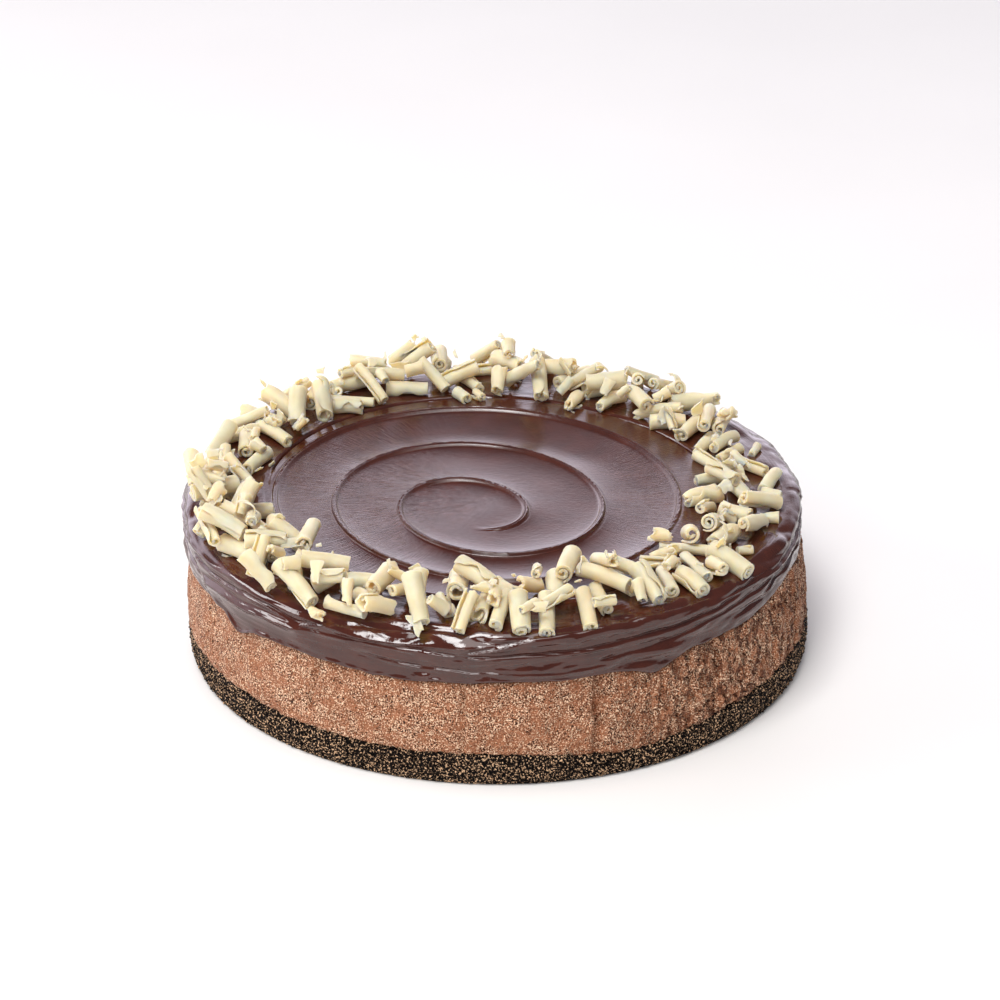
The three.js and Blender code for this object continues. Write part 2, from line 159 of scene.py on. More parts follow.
def lattice(ix, iy, iz, seed):
    """A fixed pseudo-random number from -1 to 1 for each lattice point."""
    n = (ix * 374761393 + iy * 668265263 + iz * 2147483647 + seed * 1274126177) & 0xFFFFFFFF
    n = ((n ^ (n >> 13)) * 1274126177) & 0xFFFFFFFF
    return (n ^ (n >> 16)) / 2147483647.5 - 1


def noise(x, y, z, seed=0):
    """Smooth noise from -1 to 1 with a grain of about one unit."""
    x, y, z = np.broadcast_arrays(*(np.asarray(v, float) for v in (x, y, z)))
    cell = [np.floor(v).astype(np.int64) for v in (x, y, z)]
    part = [v - c for v, c in zip((x, y, z), cell)]
    part = [p * p * (3 - 2 * p) for p in part]
    total = 0
    for dx in (0, 1):
        for dy in (0, 1):
            for dz in (0, 1):
                weight = 1
                for p, d in zip(part, (dx, dy, dz)):
                    weight = weight * (p if d else 1 - p)
                total = total + weight * lattice(cell[0] + dx, cell[1] + dy, cell[2] + dz, seed)
    return total


def rough(x, y, z, octaves, seed=0):
    """Noise with finer grains added, each half the size and strength of the one before."""
    total = 0
    for k in range(octaves):
        total = total + 0.5**k * noise(x * 2**k, y * 2**k, z * 2**k, seed + k)
    return total


# ---- meshes
def make_mesh(name, points, faces, smooth_angle=None):
    """Makes an object from points in millimetres and rows of corner numbers, shaded smooth."""
    mesh = bpy.data.meshes.new(name)
    corners = np.concatenate([np.ravel(f) for f in faces]).astype(np.int32)
    sizes = np.concatenate([np.full(len(f), np.shape(f)[1]) for f in faces]).astype(np.int32)
    mesh.vertices.add(len(points))
    mesh.vertices.foreach_set("co", np.ravel(np.asarray(points) * METRES).astype(np.float32))
    mesh.loops.add(len(corners))
    mesh.loops.foreach_set("vertex_index", corners)
    mesh.polygons.add(len(sizes))
    starts = np.concatenate([[0], np.cumsum(sizes)[:-1]]).astype(np.int32)
    mesh.polygons.foreach_set("loop_start", starts)
    mesh.update(calc_edges=True)
    mesh.validate()
    mesh.shade_smooth()
    if smooth_angle:
        mesh.set_sharp_from_angle(angle=math.radians(smooth_angle))
    made = bpy.data.objects.new(name, mesh)
    bpy.context.scene.collection.objects.link(made)
    return made


def dress(piece, material, node):
    """Gives a piece its material, hangs it under the root body, and hides the solid that it stands
    for.
    """
    piece.data.materials.append(material)
    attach(piece, "root")
    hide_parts(node)


def grid_faces(grid, closed=False):
    """Quads of a grid of corner numbers. A closed grid meets its first column again."""
    if closed:
        grid = np.concatenate([grid, grid[:, :1]], axis=1)
    corners = grid[:-1, :-1], grid[1:, :-1], grid[1:, 1:], grid[:-1, 1:]
    return np.stack(corners, axis=-1).reshape(-1, 4)


def fan_faces(ring, centre, faces_up):
    ahead = np.roll(ring, -1)
    middle = np.full_like(ring, centre)
    return np.stack([middle, ring, ahead] if faces_up else [middle, ahead, ring], axis=1)


def ring_points(degrees, radius, height, centre_x=0):
    """Points in these directions, at these radii and heights, about an upright line."""
    turned = np.radians(degrees)
    spots = centre_x + radius * np.cos(turned), radius * np.sin(turned), height
    return np.stack(np.broadcast_arrays(*spots), axis=-1)


def lathe(name, rings, top, bottom):
    """Skins rings of equal length, given from the top down, and closes both ends to a point."""
    points = rings.reshape(-1, 3)
    number = np.arange(len(points)).reshape(rings.shape[:2])
    faces = [
        grid_faces(number, closed=True),
        fan_faces(number[0], len(points), True),
        fan_faces(number[-1], len(points) + 1, False),
    ]
    points = np.concatenate([points, [top, bottom]])
    return make_mesh(name, points, faces)


# ---- outlines by angle
def oval(degrees):
    return OVAL * np.cos(np.radians(2 * degrees))


def crust_edge(degrees):
    return CRUST_HEIGHT + 0.3 + 0.2 * np.sin(np.radians(7 * degrees)) - drop(CRUST_DIPS, degrees)


def ganache_edge(degrees):
    return GANACHE_EDGE + 0.25 * np.sin(np.radians(11 * degrees)) - drop(LIP_DIPS, degrees)


# ---- ganache: the swirl
SWIRL_COLUMNS = 540
TROUGHS = 5
TROUGH_ROWS = 21
NEAR_INNER = (0, 0.25, 0.5, 0.75, 1.05, 1.45, 2.0, 2.8, 4.0)  # mm outside the inner ridge
NEAR_OUTER = (3.6, 2.6, 1.9, 1.35, 0.95, 0.6, 0.3)  # mm inside the outer ridge
CLIFF = 0.42  # share of the drop that is the small cliff just outside a ridge
EASE = 2.6  # mm over which the rest of the drop eases out
BURR = 0.34  # share of the rise that the spatula pushed up along the ridge
BURR_WIDTH = 2.0
BEAD_HEIGHT = 0.34  # thin bead of ganache left on the ridge, in mm
BEAD_WIDTH = 0.32
FOOT_DEPTH = 0.16  # fine groove at the foot of the cliff
TEETH_DEPTH = 0.45  # how deep the small teeth cut the ridge
WAVE = (0.11, 15)  # low waves in a trough: height and length in mm
RIPPLE = (0.004, 2.5)
BACK_DIP = 0.4  # how much deeper the outer trough is at the back
BACK_TURN = (1.55, 0.25)  # where that is, and how far it reaches, in turns
FLOOR_RISE = (1.7, 2.3)  # turns between which the trough's floor rises to the band

# The ridge's levels: the turns between which it changes, and the level that it reaches.
CREST_STEPS = [(0, 0.45, SWIRL_CREST), (1.4, 2.2, SWIRL_CREST_OUT), (2.6, 2.95, BAND_LEVEL)]


def swirl_radius(turn):
    t = np.clip(turn, 0, SWIRL_TURNS)
    grown = SWIRL_INNER + SWIRL_PITCH * t
    grown = grown - SWIRL_TIGHTEN * np.maximum(0, t - SWIRL_TIGHTEN_FROM) ** 2
    return np.where(turn < 0, SWIRL_INNER * np.maximum(0, 1 + turn), grown)


def swirl_point(turn, direction):
    along = np.clip(turn, 0, SWIRL_TURNS) / SWIRL_TURNS
    oval = SWIRL_OVAL * np.clip(turn / SWIRL_OVAL_AFTER, 0, 1)
    radius = swirl_radius(turn) + oval * np.cos(2 * (direction - math.radians(SWIRL_OVAL_TOWARDS)))
    x = mix(SWIRL_CENTRE_IN[0], SWIRL_CENTRE_OUT[0], along) + radius * np.cos(direction)
    y = mix(SWIRL_CENTRE_IN[1], SWIRL_CENTRE_OUT[1], along) + radius * np.sin(direction)
    return x, y


def swirl_floor(turn):
    dip = BACK_DIP * hump(turn, *BACK_TURN)
    return mix(SWIRL_FLOOR, BAND_LEVEL, smooth(*FLOOR_RISE, turn)) - dip


def swirl_crest(turn):
    level = SWIRL_FLOOR
    for first, last, reached in CREST_STEPS:
        level = mix(level, reached, smooth(first, last, turn))
    return level


def trough_rise(across, turn):
    """How much of the outer ridge's height the trough has at this place across it."""
    hollow = 0.2 * across**2 + 0.8 * across**5
    start = mix(0.5, 0.22, smooth(1.3, 1.5, turn))
    ramp = np.clip((across - start) / (1 - start), 0, 1) ** 1.25
    return mix(hollow, ramp, smooth(1.05, 1.45, turn))


def chatter(turn, direction):
    """Small teeth that the spatula left along a ridge, in patches; from 0 to 1."""
    run = swirl_radius(turn) * direction + 300 * np.floor(turn)
    teeth = np.abs(noise(run, turn * 0.5, 3))
    patches = smooth(-0.15, 0.45, noise(run / 22, turn, 9))
    return teeth * patches


def trough_height(turn, direction, across, width):
    """Height of a trough this share of the way across it, with the edges of both its ridges."""
    floor = swirl_floor(turn)
    inner = swirl_crest(turn)
    outer = np.maximum(floor, swirl_crest(turn + 1))
    past_inner = across * width
    short_of_outer = (1 - across) * width
    teeth = chatter(turn, direction)
    cliff = smooth(0.2, 0.75 + 0.5 * teeth, past_inner)
    eased = 1 - np.exp(-past_inner / EASE)
    step = 1 - CLIFF * cliff - (1 - CLIFF) * eased
    burr = 1 - smooth(0, BURR_WIDTH, short_of_outer)
    rise = (1 - BURR) * trough_rise(across, turn) + BURR * burr
    height = floor + (outer - floor) * rise + (inner - floor) * step
    stands = smooth(0, 0.4, inner - floor)
    uneven = 1 + 0.5 * noise(swirl_radius(turn) * direction / 1.3, turn, 7)
    bead = uneven * hump(past_inner, 0.3, BEAD_WIDTH) * (1 - 0.8 * teeth)
    foot = FOOT_DEPTH * hump(past_inner, 1.0, 0.28)
    height = height + stands * (BEAD_HEIGHT * bead - foot - TEETH_DEPTH * teeth * (1 - cliff))
    torn = chatter(turn + 1, direction)
    stands = smooth(0, 0.4, outer - floor)
    bead = hump(short_of_outer, 0.75, BEAD_WIDTH)
    score = hump(short_of_outer, 1.3, 0.3)
    return height + stands * (BEAD_HEIGHT * bead - (0.05 + 0.08 * torn) * score)


def wavy(x, y):
    """Low waves and fine ripples in the troughs."""
    waves = WAVE[0] * noise(x / WAVE[1], y / WAVE[1], 0, 5)
    return waves + RIPPLE[0] * noise(x / RIPPLE[1], y / RIPPLE[1], 0, 6)


def swirl_rows(share, direction):
    """Rows of points from the swirl's middle out to the circle that closes it."""
    middle = TROUGH_ROWS - len(NEAR_INNER) - len(NEAR_OUTER)
    rows = []
    for k in range(TROUGHS):
        turn = share - 2 + k
        inner = swirl_point(turn, direction)
        outer = swirl_point(turn + 1, direction)
        width = np.hypot(outer[0] - inner[0], outer[1] - inner[1])
        per_mm = np.minimum(1, width / SWIRL_PITCH) / np.maximum(width, 1e-6)
        near = [mm * per_mm for mm in NEAR_INNER]
        far = [1 - mm * per_mm for mm in NEAR_OUTER]
        between = [mix(near[-1], far[0], i / (middle + 1)) for i in range(1, middle + 1)]
        for across in near + between + far:
            x, y = (mix(a, b, across) for a, b in zip(inner, outer))
            z = trough_height(turn, direction, across, width) + wavy(x, y)
            rows.append(np.stack([x, y, z], axis=1))
    x, y = swirl_point(np.full_like(share, SWIRL_TURNS), direction)
    rows.append(np.stack([x, y, np.full_like(x, BAND_LEVEL)], axis=1))
    return rows


# ---- ganache: band, rim and side
SHOULDER_IN = 5.6  # how far in the rim starts to round over
SHOULDER_DOWN = 3.6
BEVEL_DOWN = 5.0  # the same where the spatula left a flat slope instead
NEAR_SWIRL = (0.25, 0.5, 0.7, 0.9, 1.15, 1.6, 2.3)  # mm outside the circle that closes the swirl

# Spatula strokes on the side, as overlapping layers: each row is a ridge line with its first and
# last direction, its heights at five even places between them, and how far it stands out.
STROKES = [
    (200, 235, (47.6, 46.6, 47.2, 48.3, 46.2), 0.75),
    (232, 268, (46.0, 49.7, 50.4, 51.3, 52.0), 0.8),
    (232, 266, (45.6, 46.0, 46.6, 46.2, 45.2), 0.5),
    (264, 318, (46.3, 51.0, 52.2, 52.0, 51.0), 0.8),
    (264, 322, (45.8, 45.2, 46.2, 46.7, 48.6), 0.9),
    (246, 292, (42.6, 40.8, 39.9, 38.9, 39.6), 0.45),
    (288, 334, (41.4, 42.2, 44.4, 45.8, 46.4), 0.6),
    (316, 372, (50.0, 49.0, 47.5, 49.2, 50.8), 0.8),
    (326, 380, (43.5, 44.6, 45.8, 44.2, 42.0), 0.6),
    (5, 66, (48.0, 50.4, 51.2, 49.6, 46.8), 0.8),
    (14, 90, (44.4, 43.0, 44.6, 46.2, 44.0), 0.6),
    (60, 122, (50.2, 48.6, 47.8, 50.0, 51.4), 0.8),
    (84, 150, (42.8, 44.0, 45.4, 44.2, 42.6), 0.6),
    (112, 172, (49.6, 51.4, 50.0, 48.2, 47.0), 0.8),
    (140, 206, (43.4, 45.4, 46.2, 44.6, 42.4), 0.6),
    (164, 212, (51.0, 49.4, 48.6, 49.6, 51.2), 0.7),
]

# A steeper slope that the spatula left at the left, with lines scored along it: its first and last
# direction and the heights of its foot at five even places between them.
SCORED = (203, 236, (42.2, 43.2, 43.7, 44.6, 45.4))
SCORED_OUT = 1.8  # how far its foot stands out
SCORED_TALL = 2.1
SCORE_PITCH = 1.0
SCORE_DEPTH = 0.12
SCORE_WIDTH = 0.17

STROKE_FADE = 3.2  # mm over which a stroke falls back below its ridge line
CALM_AT = (222, 22)  # where the side is smooth: direction and reach in degrees
BEVEL_AT = (253, 16)  # where the rim is a flat slope and not a round shoulder
LIP_BEAD = 0.5  # how far the beads along the lip's front left stand out, in mm
LIP_BEAD_AT = (230, 24)
GROOVE_DEPTH = 1.9  # groove round the swirl
GROOVE_AT = (5, 50)  # where it is never broken
BAND_ROWS = 14
SHOULDER_ROWS = 14
SIDE_ROWS = 38


def height_along(line, degrees):
    """The share of a line passed, and its height there, from its two directions and its heights."""
    first, last, heights = line
    along = (degrees - first) % 360 / (last - first)
    return along, np.interp(np.clip(along, 0, 1), np.linspace(0, 1, len(heights)), heights)


def scored_slope(degrees, height):
    """How far the scored slope stands out."""
    along, foot = height_along(SCORED, degrees)
    inside = smooth(0, 0.15, along) * (1 - smooth(0.88, 1.0, along))
    above = height - foot + 0.2 * noise(degrees / 3.1, 0, 0, 25)
    out = np.clip(1 - above / SCORED_TALL, 0, 1) * np.exp(-np.maximum(-above, 0) / 2.4)
    from_line = np.mod(above, SCORE_PITCH) - 0.5 * SCORE_PITCH
    lines = hump(from_line, 0, SCORE_WIDTH) * smooth(-0.3, 0.2, above)
    lines = lines * (1 - smooth(SCORED_TALL - 0.2, SCORED_TALL + 0.6, above))
    return inside * (SCORED_OUT * out - SCORE_DEPTH * lines)


def stroke_relief(degrees, height):
    """How far the side stands out of its plain round form."""
    relief = 0
    for *line, standing in STROKES:
        along, ridge = height_along(line, degrees)
        inside = smooth(0, 0.06, along) * (1 - smooth(0.9, 1.0, along))
        below = ridge + 0.25 * noise(degrees / 3.1, 0, 0, line[0]) - height
        edge = smooth(-0.3, 0.15, below) * np.exp(-np.maximum(below, 0) / STROKE_FADE)
        relief = relief + inside * standing * (edge - 0.4 * hump(below, -0.55, 0.4))
    run = np.radians(degrees) * GANACHE_RADIUS
    fold = np.abs(noise(run / 17 + height / 9, height / 4.4, 0, 21))
    crease = np.abs(noise(run / 7 - height / 6, height / 2.7, 0, 22))
    calm = 1 - 0.85 * bump_at(degrees, *CALM_AT)
    broad = calm * (1.4 * fold + 0.55 * crease) - 0.6
    brushed = 0.05 * noise(run / 9, height / 0.7, 0, 23) + 0.03 * noise(run / 1.6, height / 1.4, 0, 24)
    return relief + broad + brushed + scored_slope(degrees, height)


def ganache_ring(degrees, radius, height):
    return ring_points(degrees, radius, height, GANACHE_LEAN)


def band_rows(degrees, swirl_edge):
    """The band that the curls lie on, with a groove and a low lip just outside the swirl."""
    shoulder = ganache_ring(degrees, GANACHE_RADIUS - SHOULDER_IN, BAND_LEVEL)
    wide = np.hypot(*(shoulder - swirl_edge).T[:2])
    shares = [near / wide for near in NEAR_SWIRL]
    shares += [mix(shares[-1], 1, i / BAND_ROWS) for i in range(1, BAND_ROWS)]
    cut = smooth(-0.55, -0.1, noise(degrees / 17, 0, 0, 16))
    cut = np.maximum(cut, bump_at(degrees, *GROOVE_AT))
    rows = []
    for share in shares:
        place = swirl_edge + (shoulder - swirl_edge) * np.reshape(share, (-1, 1))
        x, y = place[:, 0], place[:, 1]
        away = share * wide
        groove = GROOVE_DEPTH * cut * hump(away, 0.7, 0.34)
        lip = 0.3 * hump(away, 2.1, 0.8)
        waves = 0.34 * noise(x / 10, y / 10, 0, 11) + 0.1 * noise(x / 3.6, y / 3.6, 0, 12)
        strokes = 0.22 * (1 - np.abs(noise(degrees / 26, away / 4.2, 0, 17))) ** 6
        wrinkles = 0.12 * noise(np.radians(degrees) * 88 / 1.4, away / 5, 0, 13)
        wrinkles = wrinkles * smooth(-0.1, 0.5, noise(x / 24, y / 24, 0, 14))
        relief = (waves + strokes + wrinkles) * smooth(1.5, 4.5, away)
        rows.append(np.stack([x, y, BAND_LEVEL - groove + lip + relief], axis=1))
    return rows


def shoulder_rows(degrees, flat, shoulder_down):
    """The rim: a round shoulder, or a slope where it is flat."""
    rows = []
    for i in range(SHOULDER_ROWS + 1):
        share = i / SHOULDER_ROWS
        turn_over = 0.5 * np.pi * share
        inset = SHOULDER_IN * (1 - mix(np.sin(turn_over), share, flat))
        height = BAND_LEVEL - shoulder_down * mix(1 - np.cos(turn_over), share, flat)
        relief = stroke_relief(degrees, height)
        wobble = 0.15 * noise(degrees / 8, 0, i / 9, 15)
        out = np.sin(turn_over) * relief
        lift = smooth(0, 0.35, share) * 0.8 * np.cos(turn_over) * (relief - 0.25)
        rows.append(ganache_ring(degrees, GANACHE_RADIUS - inset + out, height + lift + wobble))
    return rows


def side_rows(degrees, top, edge):
    """The side from under the rim down to the lip."""
    rows = []
    for i in range(1, SIDE_ROWS + 1):
        height = mix(top, edge + 0.7, i / SIDE_ROWS)
        relief = stroke_relief(degrees, height)
        near_lip = np.exp(-((height - edge) / 1.1))
        out = mix(relief, 0.15 + 0.25 * relief, near_lip) - 0.25 * (1 - near_lip)
        beads = bump_at(degrees, *LIP_BEAD_AT) * (0.5 + noise(degrees / 1.1, 0, 0, 33))
        out = out + LIP_BEAD * beads * hump(height - edge, 0.9, 0.4)
        rows.append(ganache_ring(degrees, GANACHE_RADIUS + out, height))
    return rows


def lip_rows(degrees, edge):
    """The rolled lip and its inner face."""
    roll = 0.3 + 0.3 * noise(degrees / 2.8, 0, 0, 32)
    inner = -LIP_THICKNESS
    profile = [
        (roll - 0.2, edge + 0.3),
        (roll - 0.55, edge),
        (inner + 0.35, edge),
        (inner, edge + 0.4),
        (inner, CHEESECAKE_TOP + GAP),
    ]
    return [ganache_ring(degrees, GANACHE_RADIUS + out, height) for out, height in profile]


def ganache_rim_rows(degrees, swirl_edge):
    """Rows of points from the swirl's outer circle over the rim to the lip's inner face."""
    flat = bump_at(degrees, *BEVEL_AT)
    shoulder_down = mix(SHOULDER_DOWN, BEVEL_DOWN, flat)
    edge = ganache_edge(degrees) + 0.25 * noise(degrees / 2.2, 0, 0, 31)
    rows = band_rows(degrees, swirl_edge)
    rows += shoulder_rows(degrees, flat, shoulder_down)
    rows += side_rows(degrees, BAND_LEVEL - shoulder_down, edge)
    return rows + lip_rows(degrees, edge)


def ganache_piece():
    share = np.arange(SWIRL_COLUMNS) / SWIRL_COLUMNS
    degrees = FIRST_DIRECTION + 360 * share
    rows = swirl_rows(share, np.radians(degrees))
    rows += ganache_rim_rows(degrees % 360, rows[-1])
    low = WAVE[0] * noise(*(c / WAVE[1] for c in SWIRL_CENTRE_IN), 0, 5)
    points = [(*SWIRL_CENTRE_IN, SWIRL_FLOOR + low)]
    points = np.concatenate([points, np.stack(rows).reshape(-1, 3)])
    number = 1 + np.arange(len(points) - 1).reshape(len(rows), SWIRL_COLUMNS)

    # Around the swirl each column meets the first one a trough further out, and the last
    # trough has closed by then. What is left of the first trough there is the centre.
    swirl_last = TROUGHS * TROUGH_ROWS
    grid = number[: swirl_last + 1].copy()
    grid[0] = 0
    grid[: TROUGH_ROWS + 1, 0] = 0
    shifted = np.minimum(np.arange(swirl_last + 1) + TROUGH_ROWS, swirl_last)
    quads = grid_faces(np.concatenate([grid, grid[shifted, :1]], axis=1))
    triangles = np.concatenate([quads[:, :3], quads[:, [0, 2, 3]]])
    whole = (triangles != np.roll(triangles, 1, axis=1)).all(axis=1)

    outer = number[swirl_last:]
    faces = [triangles[whole], grid_faces(outer, closed=True)]
    faces.append(fan_faces(outer[-1], len(points), False))
    points = np.concatenate([points, [(GANACHE_LEAN, 0, CHEESECAKE_TOP + GAP)]])
    used = np.unique(np.concatenate([f.ravel() for f in faces]))
    renumber = np.zeros(len(points), int)
    renumber[used] = np.arange(len(used))
    return make_mesh("ganache_cap", points[used], [renumber[f] for f in faces])


# ---- cheesecake side
CHEESECAKE_COLUMNS = 1150
CHEESECAKE_ROWS = 52

# Upright creases: direction, lean in degrees from foot to top, width in degrees, depth in mm, how
# far the side stands out past the crease, and, where it isn't the whole height, its lower and
# upper end as shares of the side.
CREASES = [
    (204, 2.0, 0.45, 0.9, 0.2),
    (206.5, 1.0, 0.35, 0.5, 0.0, 0.2, 1.0),
    (219, 0.6, 0.5, 0.35, 0.3, 0.0, 0.8),
    (234, 3.5, 0.55, 1.7, 0.8, 0.2, 1.0),
    (249, 0.3, 0.5, 0.25, 0.25),
    (264, 0.5, 0.45, 1.4, 0.55),
    (276, -0.5, 0.5, 0.25, 0.2, 0.3, 1.0),
    (288, 0.8, 0.75, 3.4, 0.3),
    (300.7, 0.3, 0.4, 1.2, 0.4, 0.4, 1.0),
    (306.5, 0.6, 0.5, 0.8, -0.3, 0.0, 0.7),
    (312.8, 0.8, 0.6, 2.6, 0.4),
    (320.4, 1.0, 0.8, -0.4, 0.6),
    (331, 0.5, 0.45, 1.5, 0.4),
    (337, -0.4, 0.5, 0.9, 0.0),
    (342, -0.8, 0.5, 1.4, 0.5),
    (5, 0.8, 0.5, 1.2, 0.3),
    (33, -1.0, 0.45, 1.4, 0.4, 0.1, 1.0),
    (58, 1.2, 0.5, 1.0, -0.3),
    (83, 0.5, 0.5, 1.6, 0.4, 0.0, 0.8),
    (104, -1.5, 0.45, 0.9, 0.3, 0.2, 1.0),
    (127, 0.8, 0.5, 1.7, -0.4),
    (152, 1.0, 0.45, 1.0, 0.3),
    (176, -0.6, 0.5, 1.0, 0.4, 0.3, 1.0),
]

# Where the side is torn: direction, how much, and width in degrees.
TORN = [(318, 1.0, 34), (20, 0.7, 40), (110, 0.6, 45)]
GRAIN_DEPTH = (0.14, 0.4)  # mm where the side is smooth, and where it is torn
PIT_DEPTH = (0.4, 1.4)
TEAR_DEPTH = 0.8


def cheesecake_form(degrees, up):
    """Radius of the side before its fine grain."""
    radius = mix(CAKE_RADIUS, CHEESECAKE_TOP_RADIUS, smooth(0.3, 0.9, up))
    waves = np.sin(np.radians(3 * degrees + 70)) + np.sin(np.radians(8 * degrees) + 3 * up)
    radius = radius + (1 - up) * oval(degrees) + 0.2 * waves
    for at, lean, width, depth, step, *ends in CREASES:
        low, high = ends or (0, 1)
        wander = 0.4 * noise(up * 5, at, 0, 41) + 0.15 * noise(up * 14, at, 0, 42)
        away = past(degrees, at + lean * up + wander)
        shows = smooth(low - 0.05, low + 0.08, up) * (1 - smooth(high - 0.05, high + 0.06, up))
        ragged = 1 + 0.35 * noise(up * 11, at, 3, 42)
        cut = depth * ragged * hump(away, 0, width)
        proud = step * smooth(-0.4, 0.6, away) * np.exp(-np.maximum(away, 0) / 5)
        radius = radius - shows * (cut - proud)
    return radius


def tornness(degrees):
    """How torn the side is, from 0 on the smooth front left to 1 on the rough right and back."""
    return np.clip(drop(TORN, degrees), 0, 1)


def cheesecake_piece():
    share = np.arange(CHEESECAKE_COLUMNS) / CHEESECAKE_COLUMNS
    degrees = 360 * share
    foot = crust_edge(degrees) + GAP + 0.25 * noise(degrees / 0.9, 0, 0, 43)
    shelf = ganache_edge(degrees) - GAP
    up = np.linspace(1, 0, CHEESECAKE_ROWS)[:, None]
    height = mix(foot, shelf, up)
    angle = np.broadcast_to(degrees, height.shape)
    run = np.radians(angle) * CAKE_RADIUS
    torn = tornness(angle)
    radius = cheesecake_form(angle, up)
    radius = radius + 0.28 * rough(run / 6, height / 6, 0, 2, 44)
    grain = rough(run / 1.6, height / 1.4, 0, 2, 45)
    pits = smooth(0.3, 0.9, rough(run / 1.2, height / 1.1, 0, 2, 47))
    radius = radius + mix(*GRAIN_DEPTH, torn) * grain - mix(*PIT_DEPTH, torn) * pits
    tears = smooth(0.3, 0.9, noise(run / 2.4 + height / 3.4, height / 7, 0, 49))
    tears = tears * smooth(0.1, 0.5, noise(run / 15, height / 11, 0, 50))
    radius = radius - TEAR_DEPTH * torn * tears
    radius = radius - 0.5 * smooth(0.94, 1.0, up) - 0.3 * (1 - smooth(0, 0.05, up))
    lean = mix(LEAN_FOOT, LEAN, smooth(CRUST_HEIGHT, CHEESECAKE_TOP, height))
    side = ring_points(angle, radius, height, lean)
    behind = GANACHE_RADIUS - LIP_THICKNESS - GAP
    above = [ganache_ring(degrees, behind, level) for level in (CHEESECAKE_TOP, shelf)]
    below = [ring_points(degrees, INSIDE_RADIUS, CRUST_HEIGHT + GAP)]
    rings = np.concatenate([above, side, below])
    top = (GANACHE_LEAN, 0, CHEESECAKE_TOP)
    return lathe("cheesecake_layer", rings, top, (0, 0, CRUST_HEIGHT + GAP))


# ---- crust
CRUST_COLUMNS = 1000
CRUST_ROWS = 26
CRUST_SINK = 0.35  # how far the side lies back, so that the crumbs reach its full width
CRUMBS = 9000
CRUMB_RADIUS = (0.26, 0.68)


def crust_radius(degrees, up):
    """Radius of the crust's side: rounded in at the foot."""
    radius = mix(CRUST_FOOT_RADIUS, CRUST_RADIUS, smooth(-0.2, 0.45, up)) + oval(degrees)
    return radius - 0.35 * smooth(0.85, 1, up)


def crust_piece():
    degrees = 360 * np.arange(CRUST_COLUMNS) / CRUST_COLUMNS
    up = np.linspace(1, 0, CRUST_ROWS)[:, None]
    height = up * crust_edge(degrees)
    angle = np.broadcast_to(degrees, height.shape)
    run = np.radians(angle) * CRUST_RADIUS
    radius = crust_radius(angle, up) - CRUST_SINK
    crags = np.abs(rough(run / 1.7, height / 1.5, 0, 2, 61))
    gaps = smooth(0.2, 0.8, noise(run / 1.1, height, 0, 63))
    fade = smooth(0, 0.12, up)
    radius = radius + (0.55 * crags - 0.6 * gaps) * fade
    above = ring_points(degrees, INSIDE_RADIUS, CRUST_HEIGHT)
    rings = np.concatenate([above[None], ring_points(angle, radius, height)])
    return lathe("crust_body", rings, (0, 0, CRUST_HEIGHT), (0, 0, 0))


def crumb_shapes():
    """Corners and faces of a rough twenty-sided grain of radius one."""
    golden = (1 + 5**0.5) / 2
    corners = []
    for a in (-1, 1):
        for b in (-golden, golden):
            corners += [(0, a, b), (a, b, 0), (b, 0, a)]
    size = math.hypot(1, golden)
    corners = np.array(corners) / size
    faces = []
    longest = 1.06 * 2 / size  # a little more than a side
    for i, j, k in combinations(range(12), 3):
        a, b, c = corners[[i, j, k]]
        if max(np.linalg.norm(side) for side in (a - b, b - c, c - a)) < longest:
            outward = np.dot(np.cross(b - a, c - a), a)
            faces.append((i, j, k) if outward > 0 else (i, k, j))
    return corners, np.array(faces)


def crumbs_piece():
    """Rough grains all over the crust's side, joined into one mesh."""
    random = np.random.default_rng(7)
    degrees = random.uniform(0, 360, CRUMBS)
    up = random.uniform(0.02, 0.99, CRUMBS)
    size = mix(*CRUMB_RADIUS, random.uniform(0, 1, CRUMBS) ** 2.5)
    height = np.maximum(up * crust_edge(degrees), size)
    radius = crust_radius(degrees, up) - 0.25 + 0.35 * random.uniform(-1, 1, CRUMBS) - 0.3 * size
    places = ring_points(degrees, radius, height)
    sizes = size[:, None] * random.uniform(0.7, 1.15, (CRUMBS, 3))

    random = np.random.default_rng(8)
    corners, faces = crumb_shapes()
    dents = random.uniform(0.72, 1.2, (CRUMBS, 12, 1))
    grains = corners * dents * sizes[:, None]
    spin = random.normal(size=(CRUMBS, 1, 4))  # a quaternion for each grain
    spin = spin / np.linalg.norm(spin, axis=2, keepdims=True)
    across = 2 * np.cross(spin[..., 1:], grains)
    grains = grains + spin[..., :1] * across + np.cross(spin[..., 1:], across)
    grains = grains + places[:, None]
    numbers = faces + len(corners) * np.arange(CRUMBS)[:, None, None]
    return make_mesh("crust_crumbs", grains.reshape(-1, 3), [numbers.reshape(-1, 3)], smooth_angle=50)


